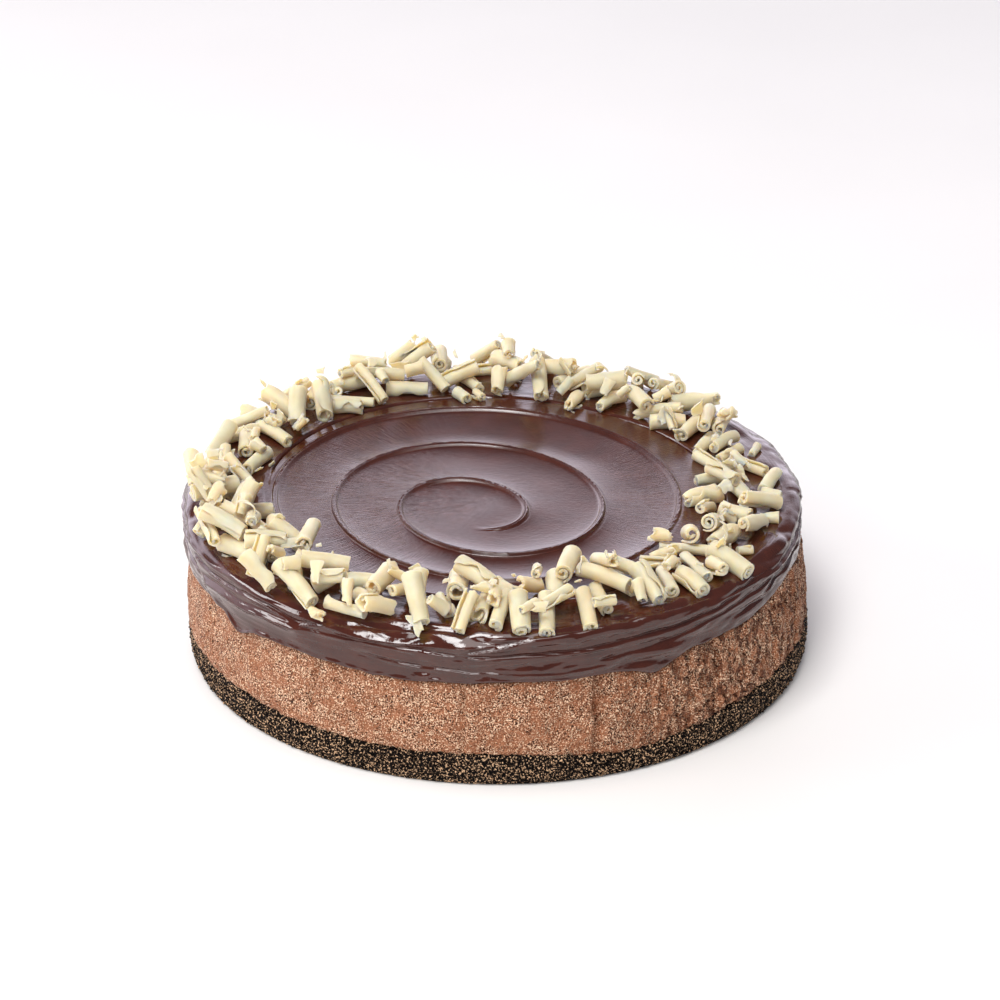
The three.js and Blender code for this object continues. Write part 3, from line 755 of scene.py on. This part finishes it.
# ---- white chocolate curls
class Terrain:
    """Heights of the ganache and of the curls already down, in 1 mm cells."""

    HALF = 116

    def __init__(self):
        span = np.arange(2 * self.HALF + 1) - self.HALF
        out = np.hypot(span[None, :] - GANACHE_LEAN, span[:, None])
        over = np.maximum(0, out - (GANACHE_RADIUS - RIM_ROUND))
        self.cells = BAND_LEVEL - over * over / (2 * RIM_ROUND)

    def cell(self, curl, along, across):
        """The cell at a place on a curl, in mm along and across it."""
        yaw = math.radians(curl["yaw"])
        x = curl["x"] + along * math.cos(yaw) - across * math.sin(yaw)
        y = curl["y"] + along * math.sin(yaw) + across * math.cos(yaw)
        return math.floor(y + 0.5) + self.HALF, math.floor(x + 0.5) + self.HALF

    def needed(self, curl):
        """The lowest height for a lying cylinder's axis at each millimetre of its length."""
        reach = math.floor(curl["length"] / 2)
        found = []
        for along in range(-reach, reach + 1):
            height = -1e3
            for across in range(-2, 3):
                round_up = math.sqrt(max(0, curl["radius"] ** 2 - across**2))
                height = max(height, self.cells[self.cell(curl, along, across)] + round_up)
            found.append((along, height))
        return found

    def rest(self, curl):
        """Lets the cylinder come to rest on two supports, one to each side of its middle."""
        needed = self.needed(curl)
        height, slope = -1e3, 0
        for a, za in needed:
            for b, zb in needed:
                if a > 0 or b < 0 or a == b:
                    continue
                m = min(CURL_STEEPEST, max(-CURL_STEEPEST, (zb - za) / (b - a)))
                middle = max(za - m * a, zb - m * b)
                if middle > height + 1e-6:
                    height, slope = middle, m
        curl["z"] = rounded(height - CURL_SINK, 0.01)
        curl["slope"] = rounded(slope, 0.001)
        return curl

    def add(self, curl):
        reach = math.floor(curl["length"] / 2)
        for along in np.arange(-reach, reach + 0.25, 0.5):
            for across in np.arange(-3, 3.25, 0.5):
                if abs(across) <= curl["radius"]:
                    cell = self.cell(curl, along, across)
                    round_up = math.sqrt(curl["radius"] ** 2 - across**2)
                    top = curl["z"] + curl["slope"] * along + round_up
                    self.cells[cell] = max(self.cells[cell], top)

    def lay(self, tries):
        """Lets each curl tried come to rest, and keeps the one that lies lowest and flattest."""
        best = min(map(self.rest, tries), key=lambda c: c["z"] + STEEPNESS_COST * abs(c["slope"]))
        self.add(best)
        return best


def curl_tries(draw, sector, nth, count, size):
    """Curls of one size, anywhere in their part of the ring but no further out than they may reach."""
    for _ in range(CURL_TRIES):
        angle = math.radians(30 * (sector + (nth + draw()) / count))
        out = CURL_RING_RADIUS + CURL_RING_SPREAD * (draw() + draw() - 1)
        yaw = rounded(180 * draw(), 1)
        x = rounded(CURL_RING_CENTRE[0] + out * math.cos(angle), 0.1)
        y = rounded(CURL_RING_CENTRE[1] + out * math.sin(angle), 0.1)
        c, s = math.cos(math.radians(yaw)), math.sin(math.radians(yaw))
        ends = (-size["length"] / 2, size["length"] / 2)
        far = max(math.hypot(x - GANACHE_LEAN + e * c, y + e * s) for e in ends)
        kept = 1 - max(0, far - CURL_REACH) / math.hypot(x, y)
        yield {"x": rounded(x * kept, 0.1), "y": rounded(y * kept, 0.1), "yaw": yaw, **size}


def curl_places():
    """Where each curl lies: the rule of the solids, drawn with the same seed."""
    draw = Draw(57)
    terrain = Terrain()
    placed = []
    for nth in range(max(CURLS_PER_SECTOR)):
        for sector, count in enumerate(CURLS_PER_SECTOR):
            if nth < count:
                size = {
                    "length": rounded(mix(*CURL_LENGTH, (draw() + draw()) / 2), 0.1),
                    "radius": rounded(mix(*CURL_RADIUS, draw()), 0.05),
                    "taper": rounded(CURL_TAPER * draw() * draw(), 0.01),
                    "bow": rounded(mix(*CURL_BOW, draw()), 0.1),
                }
                placed.append(terrain.lay(curl_tries(draw, sector, nth, count, size)))
    return placed, terrain


CURL_FULLNESS = 1.1  # a scroll is a little narrower than its widest turn
CURL_ALONG = 8  # quads along a curl
CURL_AROUND = 36  # and round its roll
EDGE_WANDER = 0.12  # how far the loose edge strays from a straight line, in turns
BOW_FROM = 0.6  # a curl is bent where its bow is more than this


def scroll(curl, look, draw, along=CURL_ALONG, around=CURL_AROUND):
    """One rolled sheet of chocolate, closed all round: its points and faces.

    The look gives how many turns the sheet is rolled, the mm left free between its layers, its
    thickness, how far the loose edge stands off, how uneven the two ends are in mm, and how
    crumpled the sheet is as a share of its radius.
    """
    turns, gap, thickness, flare, ragged, crumple = look
    yaw = math.radians(curl["yaw"])
    axis = np.array([math.cos(yaw), math.sin(yaw), curl["slope"]])
    axis /= np.linalg.norm(axis)
    side = np.array([-math.sin(yaw), math.cos(yaw), 0])
    up = np.cross(axis, side)
    hand = 1 if draw() < 0.5 else -1
    start = TAU * draw()
    seed = int(1e6 * draw())

    q = np.linspace(0, 1, around + 1)[:, None]  # from the loose edge inwards
    t = np.linspace(-1, 1, along + 1)[None, :]  # from end to end
    slip = EDGE_WANDER * noise(t * 1.6, 0, 0, seed) / max(turns, 0.4)
    rolled = hand * TAU * turns * (q + slip * (1 - q) ** 2) + start
    girth = curl["radius"] * (1 + curl["taper"] * t) * CURL_FULLNESS
    middle = girth - thickness / 2 - (thickness + gap) * turns * q
    middle = middle + flare * np.exp(-q * turns * 7) * (0.6 + 0.4 * noise(t * 1.3, 1, 0, seed))
    middle = np.maximum(middle, 0.75 * thickness)
    middle = middle * (1 + crumple * noise(t * 1.7, q * 2.5 * turns, 0, seed + 1))
    thick = thickness * (1 - 0.5 * np.exp(-q * 14)) * (1 + 0.2 * noise(t * 2, q * 6, 1, seed))
    half = curl["length"] / 2

    def missing(end):
        """The mm by which one end is short or, below zero, long."""
        fray = noise(q * 5 * turns, end, 0, seed) + 0.6 * noise(q * 13 * turns, end, 0, seed)
        return np.maximum(ragged * (0.5 + fray), -0.3)

    place = mix(missing(2) - half, half - missing(5), (t + 1) / 2)
    bend = curl["bow"] * (0.35 - 0.65 * t * t) if curl["bow"] > BOW_FROM else 0 * t
    base = np.array([curl["x"], curl["y"], curl["z"]])

    def surface(radius):
        """The sheet's points at this distance from the roll's axis."""
        spot = base + place[..., None] * axis + (bend + 0 * q)[..., None] * up
        spot = spot + (radius * np.cos(rolled))[..., None] * side
        return spot + (radius * np.sin(rolled))[..., None] * up

    points = np.concatenate([surface(middle + thick / 2), surface(middle - thick / 2)])
    points = points.reshape(-1, 3)
    sheets = np.arange(len(points)).reshape(2, around + 1, along + 1)
    skins = [sheets[0], sheets[1].T]
    skins += [sheets[:, :, 0], sheets[:, :, -1].T, sheets[:, 0].T, sheets[:, -1]]
    faces = np.concatenate([grid_faces(skin) for skin in skins])
    return points, faces if hand > 0 else faces[:, ::-1]


def join_scrolls(name, scrolls):
    counts = np.cumsum([0] + [len(points) for points, _ in scrolls])
    points = np.concatenate([points for points, _ in scrolls])
    faces = np.concatenate([faces + count for (_, faces), count in zip(scrolls, counts)])
    return make_mesh(name, points, [faces], smooth_angle=48)


SHEET = (0.85, 1.15)  # least and greatest thickness in mm

# Kinds of roll: the number drawn below which each one comes, least and greatest hole as a share of
# the roll's radius, and the look's free mm, loose edge, uneven ends and crumple.
ROLL_KINDS = [
    (0.6, (0.25, 0.38), 0.27, 0.05, 0.16, 0.03),  # a tight roll
    (0.8, (0.3, 0.45), 0.36, 0.5, 0.4, 0.06),  # a looser roll with its edge standing off
    (0.9, (0.55, 0.68), 0.08, 0.2, 0.9, 0.06),  # a wide open tube
    (1.0, (0.4, 0.55), 0.2, 0.6, 1.5, 0.22),  # a crumpled piece
]


def roll_look(curl, draw):
    """What one curl looks like, for scroll()."""
    kind = draw()
    thickness = draw.between(*SHEET)
    hole, gap, flare, ragged, crumple = next(row[1:] for row in ROLL_KINDS if kind < row[0])
    wall = curl["radius"] * CURL_FULLNESS * (1 - draw.between(*hole))
    return wall / (thickness + gap), gap, thickness, flare, ragged, crumple


def curls_piece(places):
    draw = Draw(77)
    scrolls = [scroll(curl, roll_look(curl, draw), draw) for curl in places]
    return join_scrolls("white_chocolate_curls", scrolls)


STUBS = 46
STUB_LENGTH = (4.5, 8.5)
STUB_RADIUS = (1.7, 2.5)

# Flakes: least and greatest length, radius and share of a turn, and how uneven their ends are.
SHARDS = 90
LARGE_SHARE = 0.35  # the share of them that are large
LARGE_SHARD = ((4, 8), (2.4, 3.6), (0.18, 0.34), 0.8)
SMALL_SHARD = ((2.1, 3.6), (1.2, 2.2), (0.12, 0.22), 0.4)


def ring_spot(draw, share, reach):
    """Where a straight piece lies: this share of the way round, up to so many mm off the ring."""
    angle = TAU * share
    out = CURL_RING_RADIUS + reach * (draw() + draw() - 1)
    x = CURL_RING_CENTRE[0] + out * math.cos(angle)
    y = CURL_RING_CENTRE[1] + out * math.sin(angle)
    return {"x": x, "y": y, "yaw": 180 * draw(), "bow": 0}


def stubs_piece(terrain):
    """Short broken rolls that fill the gaps between the curls."""
    draw = Draw(911)
    reach = 1.1 * CURL_RING_SPREAD
    scrolls = []
    for i in range(STUBS):
        size = {"length": draw.between(*STUB_LENGTH), "radius": draw.between(*STUB_RADIUS)}
        stub = terrain.lay(
            {**ring_spot(draw, (i + draw()) / STUBS, reach), "taper": 0.2 * draw(), **size}
            for _ in range(CURL_TRIES)
        )
        scrolls.append(scroll(stub, roll_look(stub, draw), draw, along=5, around=26))
    return join_scrolls("white_chocolate_stubs", scrolls)


def shards_piece(terrain):
    """Thin broken flakes that lie between the curls and on them."""
    draw = Draw(505)
    scrolls = []
    for i in range(SHARDS):
        length, radius, turns, ragged = LARGE_SHARD if draw() < LARGE_SHARE else SMALL_SHARD
        shard = ring_spot(draw, (i + draw()) / SHARDS, 1.25 * CURL_RING_SPREAD)
        shard["taper"] = 0.3 * draw()
        shard["length"] = draw.between(*length)
        shard["radius"] = draw.between(*radius)
        terrain.rest(shard)
        turns = draw.between(*turns)
        shard["z"] += 0.6 - 0.85 * shard["radius"] if draw() < 0.5 else 0.2 - shard["radius"]
        look = (turns, 0.6, draw.between(0.4, 0.6), 0.2, ragged, 0.1)
        scrolls.append(scroll(shard, look, draw, along=6, around=8))
    return join_scrolls("white_chocolate_shards", scrolls)


# ---- materials
class Nodes:
    """Shader nodes of one tree. Values given as sockets are linked, others are set."""

    def __init__(self, tree, coordinates="Object"):
        self.tree = tree
        self.place = tree.nodes.new("ShaderNodeTexCoord").outputs[coordinates]

    def put(self, socket, value):
        if isinstance(value, bpy.types.NodeSocket):
            self.tree.links.new(value, socket)
        else:
            socket.default_value = value

    def node(self, kind, out=0, settings=None, **values):
        """A node's output. Inputs are given by name, or by number as i0, i1 and so on."""
        made = self.tree.nodes.new("ShaderNode" + kind)
        for name, value in (settings or {}).items():
            setattr(made, name, value)
        for name, value in values.items():
            key = int(name[1:]) if name[1:].isdigit() else name.replace("_", " ")
            self.put(made.inputs[key], value)
        return made.outputs[out]

    def math(self, operation, a, b=0.0):
        return self.node("Math", settings={"operation": operation}, i0=a, i1=b)

    def vector(self, operation, a, out=0, **values):
        return self.node("VectorMath", out, {"operation": operation}, i0=a, **values)

    def axis(self, number, vector=None):
        """X, Y or Z, by its number."""
        return self.node("SeparateXYZ", number, i0=vector or self.place)

    def map(self, value, low, high, to_low, to_high, kind="LINEAR"):
        ends = {f"i{i}": float(v) for i, v in enumerate((low, high, to_low, to_high), 1)}
        return self.node("MapRange", settings={"interpolation_type": kind}, i0=value, **ends)


class Paint(Nodes):
    """A material made of nodes."""

    def __init__(self, name):
        self.material = bpy.data.materials.new(name)
        self.material.use_nodes = True
        super().__init__(self.material.node_tree)
        self.shader = self.tree.nodes["Principled BSDF"]

    def set(self, **values):
        for name, value in values.items():
            self.put(self.shader.inputs[name.replace("_", " ")], value)

    def noise(self, scale, detail=2.0, roughness=0.5, place=None):
        place = place or self.place
        return self.node("TexNoise", Vector=place, Scale=scale, Detail=detail, Roughness=roughness)

    def outwards(self, centre):
        """From an upright line: the offset, its level part, and how long that part is in metres."""
        offset = self.vector("SUBTRACT", self.place, i1=centre)
        level = self.vector("MULTIPLY", offset, i1=(1, 1, 0))
        return offset, level, self.vector("LENGTH", level, out=1)

    def polar(self, centre, around, out, up):
        """Coordinates that run round a centre: grains per radian, per metre out and per metre up."""
        offset, level, far = self.outwards(centre)
        turned = self.vector("SCALE", self.vector("NORMALIZE", level), Scale=around)
        lifted = self.math("MULTIPLY", self.axis(2, offset), up)
        lifted = self.math("ADD", lifted, self.math("MULTIPLY", far, out))
        return self.vector("ADD", turned, i1=self.node("CombineXYZ", Z=lifted))

    def ramp(self, value, *stops):
        made = self.tree.nodes.new("ShaderNodeValToRGB")
        self.put(made.inputs[0], value)
        elements = made.color_ramp.elements
        while len(elements) < len(stops):
            elements.new(0.5)
        for element, (position, colour) in zip(elements, stops):
            element.position = position
            element.color = (*colour, 1)
        return made.outputs[0]

    def mottle(self, scale, detail, dark, pale):
        """Soft patches of two colours."""
        return self.ramp(self.noise(scale, detail), (0.3, dark), (0.7, pale))

    def multiply(self, colour, by, share=1.0):
        """A colour multiplied by another one, as far as the share says."""
        settings = {"data_type": "RGBA", "blend_type": "MULTIPLY"}
        return self.node("Mix", 2, settings, i0=share, i6=colour, i7=by)

    def bump(self, height, distance, normal=None):
        """Relief of this many metres, on top of the relief given as normal."""
        values = {"Height": height, "Distance": distance, "Strength": 1.0}
        if normal is not None:
            values["Normal"] = normal
        return self.node("Bump", **values)


GLOSS_FROM = (0.068, 0.075)  # metres from the swirl's centre between which satin turns glossy


def ganache_material():
    """Dark ganache: satin with fine radial lines in the swirl, glossy and brushed outside it."""
    paint = Paint("ganache")
    centre = (SWIRL_CENTRE_OUT[0] * METRES, SWIRL_CENTRE_OUT[1] * METRES, 0)
    radial = paint.noise(1.0, 3.0, place=paint.polar(centre, 150.0, 130.0, 500.0))
    strokes = paint.noise(1.0, 2.0, place=paint.polar(centre, 7.0, 1400.0, 1100.0))
    tone = paint.mottle(160.0, 4.0, (0.046, 0.0105, 0.006), (0.070, 0.0162, 0.0088))
    rim = paint.map(paint.outwards(centre)[2], *GLOSS_FROM, 0, 1)

    # The radial lines show at the left and at the far right, and hardly between.
    x = paint.axis(0)
    lined = paint.math("ADD", paint.map(x, -0.03, 0.005, 1, 0.12), paint.map(x, 0.03, 0.052, 0, 0.9))
    lined = paint.math("MULTIPLY", lined, paint.map(rim, 0, 1, 1, 0.15))
    normal = paint.bump(paint.math("MULTIPLY", radial, lined), 0.00011)
    strokes = paint.math("MULTIPLY", strokes, paint.map(rim, 0, 1, 0.1, 1))
    normal = paint.bump(strokes, 0.0001, normal)
    normal = paint.bump(paint.noise(900.0, 3.0), 0.000032, normal)
    worn = paint.map(paint.noise(70.0, 3.0), 0.3, 0.7, -0.03, 0.03)
    shine = paint.math("ADD", paint.map(rim, 0, 1, 0.21, 0.065), worn)
    paint.set(Base_Color=tone, Roughness=shine, Normal=normal, IOR=1.6)
    return paint.material


def cheesecake_material():
    """Baked milk chocolate: dark and pale specks, busy in patches, and torn folds at the right. The
    palest specks are painted glints and the darkest are painted shade in the grain's pits, and the
    folds' pits are darkened with painted shade.
    """
    paint = Paint("cheesecake")
    speckle_and_painted_light = paint.math("SUBTRACT", paint.noise(2150.0, 2.0, 0.6), 0.5)
    busy = paint.map(paint.noise(210.0, 3.0), 0.38, 0.62, 0.75, 1.5)
    speckle_and_painted_light = paint.math("ADD", paint.math("MULTIPLY", speckle_and_painted_light, busy), 0.5)
    # The near-black and near-white ends of this ramp are painted shade in the grain's pits and painted
    # glints on its bumps, laid over the crumb's own brown specks.
    colour = paint.ramp(
        speckle_and_painted_light,
        (0.385, (0.012, 0.004, 0.002)),
        (0.42, (0.350, 0.133, 0.061)),
        (0.575, (0.465, 0.190, 0.091)),
        (0.61, (1.0, 0.77, 0.54)),
    )
    patches = paint.mottle(90.0, 4.0, (0.86, 0.82, 0.8), (1.06, 1.06, 1.06))
    torn = paint.map(paint.axis(0), 0.03, 0.068, 0.12, 1)
    folds = paint.noise(1.0, 3.0, 0.65, paint.polar((0, 0, 0), 40.0, 0.0, 170.0))
    pits = paint.math("MULTIPLY", paint.map(folds, 0.40, 0.47, 1, 0), torn)
    # Painted shade: the colour is darkened where the folds sink into pits, while the bump below gives
    # their real relief.
    colour = paint.multiply(paint.multiply(colour, patches), (0.42, 0.32, 0.27, 1), pits)
    normal = paint.bump(paint.math("SUBTRACT", 1.0, pits), 0.0012)
    normal = paint.bump(paint.noise(1350.0, 3.0, 0.6), 0.0007, normal)
    paint.set(Base_Color=colour, Roughness=0.7, Normal=normal, Specular_IOR_Level=0.3)
    return paint.material


def crust_material(name):
    """Dark biscuit crumb with pale specks."""
    paint = Paint(name)
    tone = paint.ramp(
        paint.noise(1550.0, 2.0, 0.6),
        (0.47, (0.002, 0.001, 0.001)),
        (0.54, (0.012, 0.008, 0.006)),
        (0.575, (0.13, 0.078, 0.050)),
        (0.61, (0.84, 0.55, 0.33)),
    )
    normal = paint.bump(paint.noise(1500.0, 2.0, 0.6), 0.0009)
    paint.set(Base_Color=tone, Roughness=0.6, Normal=normal, Specular_IOR_Level=0.08)
    return paint.material


def white_chocolate_material():
    """Satin white chocolate that light sinks into."""
    paint = Paint("white_chocolate")
    tone = paint.mottle(130.0, 4.0, (0.745, 0.57, 0.355), (0.835, 0.68, 0.465))
    normal = paint.bump(paint.noise(420.0, 3.0), 0.00012)
    normal = paint.bump(paint.noise(2600.0, 2.0), 0.00003, normal)
    paint.set(Base_Color=tone, Roughness=0.5, Normal=normal)
    paint.set(Subsurface_Weight=1.0, Subsurface_Scale=0.004, Subsurface_Radius=(1.0, 0.75, 0.4))
    return paint.material


def floor_material():
    paint = Paint("floor")
    tone = paint.mottle(6.0, 2.0, (0.88, 0.86, 0.835), (0.91, 0.89, 0.865))
    paint.set(Base_Color=tone, Roughness=0.6)
    return paint.material


# ---- the cake
dress(ganache_piece(), ganache_material(), "ganache")
dress(cheesecake_piece(), cheesecake_material(), "cheesecake")
dress(crust_piece(), crust_material("crust"), "crust")
dress(crumbs_piece(), crust_material("crumb"), "crust")
places, terrain = curl_places()
white_chocolate = white_chocolate_material()
dress(curls_piece(places), white_chocolate, "ganache")
dress(stubs_piece(terrain), white_chocolate, "ganache")
dress(shards_piece(terrain), white_chocolate, "ganache")


# ---- floor, light and camera
FLOOR_REACH = 6000  # mm
FLOOR_LEVEL = -0.0002  # metres

# Name, direction and elevation in degrees, distance, width and height in metres, and watts.
LIGHTS = [
    ("key", 236, 65, 2.0, 0.7, 0.7, 20),
    ("side", 178, 27, 1.4, 0.9, 0.22, 5.6),
    ("top", 270, 80, 2.4, 1.5, 1.5, 23),
    ("fill", 258, 26, 2.2, 0.9, 0.9, 13.5),
]

WALL_TOWARDS = (-0.4, 0.917, 0)  # the studio's bright wall
WALL_TOP = (0.3, 0.58)  # upward parts of a direction between which the wall ends
WALL_SIDES = (0.25, 1.0)  # parts of a direction towards the wall between which it grows bright
WORLD_DARK = 0.16
WORLD_BRIGHT = 2.95
WORLD_COLOUR = (1.0, 0.95, 1.09, 1)

CAMERA_ELEVATION = 26.35  # degrees
CAMERA_DISTANCE = 1.1545  # metres
CAMERA_TARGET = (0.00059, 0, 0.04892)
CAMERA_LENS = 126  # mm on a 36 mm frame


def floor():
    signs = ((-1, -1), (1, -1), (1, 1), (-1, 1))
    corners = [(FLOOR_REACH * x, FLOOR_REACH * y, 0) for x, y in signs]
    made = make_mesh("floor", corners, [[(0, 1, 2, 3)]])
    made.location.z = FLOOR_LEVEL
    made.data.materials.append(floor_material())


def put_facing(name, data, azimuth, elevation, distance, target=(0, 0, 0)):
    """Adds a light or camera at this distance from the target, turned to face it."""
    made = bpy.data.objects.new(name, data)
    a, e = math.radians(azimuth), math.radians(elevation)
    towards = Vector((math.cos(a) * math.cos(e), math.sin(a) * math.cos(e), math.sin(e)))
    made.location = Vector(target) + towards * distance
    made.rotation_euler = towards.to_track_quat("Z", "Y").to_euler()
    bpy.context.scene.collection.objects.link(made)
    return made


def softbox(name, azimuth, elevation, distance, wide, tall, power):
    light = bpy.data.lights.new(name, "AREA")
    light.shape = "RECTANGLE"
    light.size = wide
    light.size_y = tall
    light.energy = power
    put_facing(name, light, azimuth, elevation, distance)


def studio_world():
    """A white studio: one bright wall behind, dark overhead, in front and to the right."""
    world = bpy.data.worlds.new("studio")
    world.use_nodes = True
    nodes = Nodes(world.node_tree, "Generated")
    low = nodes.map(nodes.axis(2), *WALL_TOP, 1, 0, "SMOOTHSTEP")
    facing = nodes.vector("DOT_PRODUCT", nodes.place, out=1, i1=WALL_TOWARDS)
    wall = nodes.math("MULTIPLY", low, nodes.map(facing, *WALL_SIDES, 0, 1, "SMOOTHSTEP"))
    background = world.node_tree.nodes["Background"].inputs
    nodes.put(background["Strength"], nodes.map(wall, 0, 1, WORLD_DARK, WORLD_BRIGHT))
    nodes.put(background["Color"], WORLD_COLOUR)
    bpy.context.scene.world = world


def photo_camera():
    camera = bpy.data.cameras.new("camera")
    camera.lens = CAMERA_LENS
    camera.sensor_width = 36
    camera.clip_end = 20
    made = put_facing("camera", camera, -90, CAMERA_ELEVATION, CAMERA_DISTANCE, CAMERA_TARGET)
    bpy.context.scene.camera = made


floor()
studio_world()
for light in LIGHTS:
    softbox(*light)
photo_camera()
bpy.context.scene.view_settings.view_transform = "Standard"
